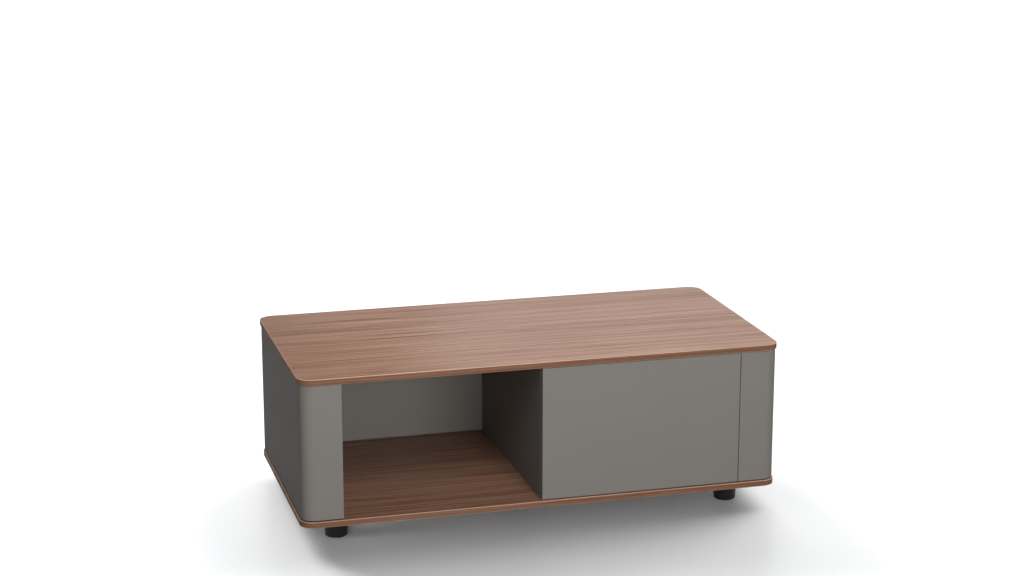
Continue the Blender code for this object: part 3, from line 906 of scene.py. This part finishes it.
birch = birch_plywood()
bottom_low, bottom_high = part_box("drawer_bottom")
for side, along in (("left", 1), ("right", -1)):
    node = f"drawer_side_{side}"
    low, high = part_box(node)
    middle, half_thickness = (low + high) / 2, (high.x - low.x) / 2
    piece = birch_board(node, (0, -1, 0), (along, 0, 0))
    width_way = piece.matrix_world.to_3x3() @ Vector((0, 1, 0))
    bottom_edge = bottom_low.x if along > 0 else bottom_high.x
    groove_floor = along * (bottom_edge - middle.x) - joint_gap
    groove_top = half_thickness + overrun
    groove_middle = ((bottom_low.z + bottom_high.z) / 2 - middle.z) * width_way.z
    groove_half = (bottom_high.z - bottom_low.z) / 2 + joint_gap
    near, far = groove_middle - groove_half, groove_middle + groove_half
    section = [(near, groove_floor), (far, groove_floor), (far, groove_top), (near, groove_top)]
    groove = bar("groove", section, (high.y - low.y) / 2 + overrun)
    cut(piece, groove, [Matrix.Identity(4)])
    outer_x = low.x if along > 0 else high.x
    into = piece.matrix_world.inverted()
    cut(piece, rail_bore, [into @ place for place in
                           rail_screw_turns(f"{side}_drawer_rail", outer_x, along)])
    settle(piece)
    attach(piece, "drawer")
    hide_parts(node)

front_screws = sorted(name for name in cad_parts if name.startswith("drawer_front_screw"))
front_screw_axes = []
for name in front_screws:
    low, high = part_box(name)
    front_screw_axes.append(((low.x + high.x) / 2, (low.z + high.z) / 2))
front_bore = loft("front_bore", [
    circle(front_screw_radius + hole_gap, z, front_bore_sides)
    for z in (-front_bore_reach, front_bore_reach)])
for node, length_way, face_way in (("drawer_bottom", (0, -1, 0), (0, 0, 1)),
                                   ("drawer_back", (1, 0, 0), (0, -1, 0)),
                                   ("drawer_inner_front", (1, 0, 0), (0, -1, 0))):
    piece = birch_board(node, length_way, face_way)
    if node == "drawer_inner_front":
        into = piece.matrix_world.inverted()
        low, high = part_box(node)
        turn = Matrix.Rotation(pi / 2, 4, "X")
        cut(piece, front_bore, [into @ Matrix.Translation((x, low.y, z)) @ turn
                                for x, z in front_screw_axes])
    settle(piece)
    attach(piece, "drawer")
    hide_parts(node)


# Drawer front
# A plain lacquered board without a handle, level with the posts. Four screws hold it from inside
# the drawer, and it covers the divider's front edge when it is closed.
low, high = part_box("drawer_front")
front = new_piece("drawer_front_lacquered", loft("drawer_front", box_rings(low, high)), lacquer)
soften(front, shell_arris)
screw_low, screw_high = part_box(front_screws[0])
blind_bore = loft("blind_bore", [
    circle(front_screw_radius + hole_gap, z, front_bore_sides)
    for z in (0, high.y - screw_low.y + overrun)])
turn = Matrix.Rotation(-pi / 2, 4, "X")
cut(front, blind_bore, [Matrix.Translation((x, screw_low.y - hole_gap, z)) @ turn
                        for x, z in front_screw_axes])
settle(front)
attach(front, "drawer")
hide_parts("drawer_front")

front_screw_mesh = pan_screw("front_screw", front_screw_radius, front_screw_length,
                             front_screw_head_radius, front_screw_head_height)
seat_y = screw_high.y - front_screw_head_height
for name, (x, z) in zip(front_screws, front_screw_axes):
    screw = new_piece(name.replace("front_screw", "front_pan_screw"), front_screw_mesh, steel,
                      Matrix.Translation((x, seat_y, z)) @ turn)
    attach(screw, "drawer")
    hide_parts(name)


# Setting
# A white polished floor, lit for a soft shadow, and a table lit apart from it: a softbox and a
# broad light in front, one high behind, and two weak ones. A black flag behind on the left shows
# only in reflections. The camera stands where the photograph was taken from.
floor_size = 60.0
floor_white = (0.93, 0.935, 0.94)
floor_bounce = (0.040, 0.040, 0.042)
room_shade = (0.026, 0.030, 0.036)
room_white = (1.0, 1.0, 1.0)
cloth_blacks = ((0.004, 0.004, 0.004), (0.010, 0.010, 0.010))
flag_width, flag_low, flag_high, flag_y, flag_edge_x = 4.0, 0.72, 2.4, 1.6, 0.15
softbox_colour, softbox_power, softbox_size = (1.0, 0.97, 0.96), 29, 1.0
softbox_place, softbox_aim = Vector((-0.18, -2.0, 2.0)), Vector((0.0, -0.3, 0.25))
lamp_white = (1.0, 1.0, 1.0)
# Each broad light has its colour, its strength, and its spread, turn and height in degrees. The
# ones for the floor are all white.
table_lights = {
    "back_light": ((0.95, 0.98, 1.0), 2.7, 44, 172, 72),
    "front_light": (lamp_white, 1.92, 30, 5, 5),
    "right_light": (lamp_white, 0.32, 50, 20, 50),
    "left_light": ((0.50, 0.75, 1.0), 0.08, 50, -60, 35)}
floor_lights = ((2.1, 24, -90, 6), (2.6, 24, -30, 6), (0.7, 60, 0, 20),
                (2.2, 40, 120, 44), (0.9, 24, 170, 44), (3.0, 24, 200, 32))
camera_place = (-1.4034, -5.086, 1.883)
camera_pitch = radians(90 - 14.345)
camera_turn = radians(-15.387)
camera_lens = 76.44
camera_reach = 100.0


def eye_and_gloss(place):
    # 1 for what the eye or a reflection sees, 0 for light that the surface throws back.
    rays = place.node("ShaderNodeLightPath", {}, {}).socket.node.outputs
    camera, glossy, through = (Field(rays[f"Is {kind} Ray"])
                               for kind in ("Camera", "Glossy", "Transmission"))
    return camera + glossy + through


def studio_floor():
    # Polished floor: white to the eye and in reflections, and duller in what it throws back.
    finish, shader, place = new_finish("studio_floor", {
        "Specular IOR Level": 0.35, "Roughness": 0.28})
    eye_and_gloss(place).between(floor_bounce, floor_white).feeds(shader, "Base Color")
    return finish


def studio_world():
    # White behind everything that is seen, and a dim light from all round.
    world = bpy.data.worlds.new("studio")
    world.use_nodes = True
    background = world.node_tree.nodes["Background"]
    seen = eye_and_gloss(Field(background.inputs["Color"]))
    seen.between(room_shade, room_white).feeds(background, "Color")
    bpy.context.scene.world = world


def sheet_of(name, corners):
    mesh = bpy.data.meshes.new(name)
    mesh.from_pydata(corners, [], [(0, 1, 2, 3)])
    return mesh


def black_flag():
    # Matte black cloth on a frame, which only reflections see.
    finish, shader, place = new_finish("black_cloth", {
        "Specular IOR Level": 0.0, "Roughness": 1.0})
    weave = noise(place * (400.0, 400.0, 400.0))
    weave.between(*cloth_blacks).feeds(shader, "Base Color")
    left, right = flag_edge_x - flag_width, flag_edge_x
    corners = [(left, flag_y, flag_low), (right, flag_y, flag_low),
               (right, flag_y, flag_high), (left, flag_y, flag_high)]
    flag = new_piece("black_flag", sheet_of("black_flag", corners), finish)
    flag.visible_camera = False
    flag.visible_diffuse = False
    flag.visible_shadow = False


def studio_light(name, kind, colour, strength, toward):
    # Toward points from the table to the light.
    lamp = bpy.data.lights.new(name, kind)
    lamp.color = colour
    lamp.energy = strength
    light = bpy.data.objects.new(name, lamp)
    light.rotation_mode = "QUATERNION"
    light.rotation_quaternion = Vector(toward).to_track_quat("Z", "Y")
    bpy.context.scene.collection.objects.link(light)
    return light


def broad_light(name, colour, strength, spread, turn, height_angle):
    # Even light from one side. Turn is measured from straight in front, positive to the right.
    turn, height_angle = radians(turn), radians(height_angle)
    level = cos(height_angle)
    toward = (sin(turn) * level, -cos(turn) * level, sin(height_angle))
    light = studio_light(name, "SUN", colour, strength, toward)
    light.data.angle = radians(spread)
    return light


def link_floor(light, state):
    # EXCLUDE shades the floor from a light, and INCLUDE shades everything else from it.
    linked = bpy.data.collections.new(f"{light.name}_{state.lower()}")
    linked.objects.link(floor)
    linked.collection_objects[0].light_linking.link_state = state
    light.light_linking.receiver_collection = linked


half = floor_size / 2
floor_corners = [(-half, -half, 0), (half, -half, 0), (half, half, 0), (-half, half, 0)]
floor = new_piece("studio_floor", sheet_of("studio_floor", floor_corners), studio_floor())
studio_world()
black_flag()

softbox = studio_light("front_softbox", "AREA", softbox_colour, softbox_power,
                       softbox_place - softbox_aim)
softbox.location = softbox_place
softbox.data.size = softbox_size
softbox.visible_camera = False
link_floor(softbox, "EXCLUDE")
for name, settings in table_lights.items():
    link_floor(broad_light(name, *settings), "EXCLUDE")
# The front light's glare would whiten the top in the views from behind.
bpy.data.objects["front_light"].visible_glossy = False
for number, settings in enumerate(floor_lights):
    link_floor(broad_light(f"floor_light_{number}", lamp_white, *settings), "INCLUDE")

camera = bpy.data.objects.new("camera", bpy.data.cameras.new("camera"))
camera.data.lens = camera_lens
camera.data.clip_end = camera_reach
camera.location = camera_place
camera.rotation_euler = (camera_pitch, 0, camera_turn)
bpy.context.scene.collection.objects.link(camera)
bpy.context.scene.camera = camera
bpy.context.scene.view_settings.view_transform = "Standard"
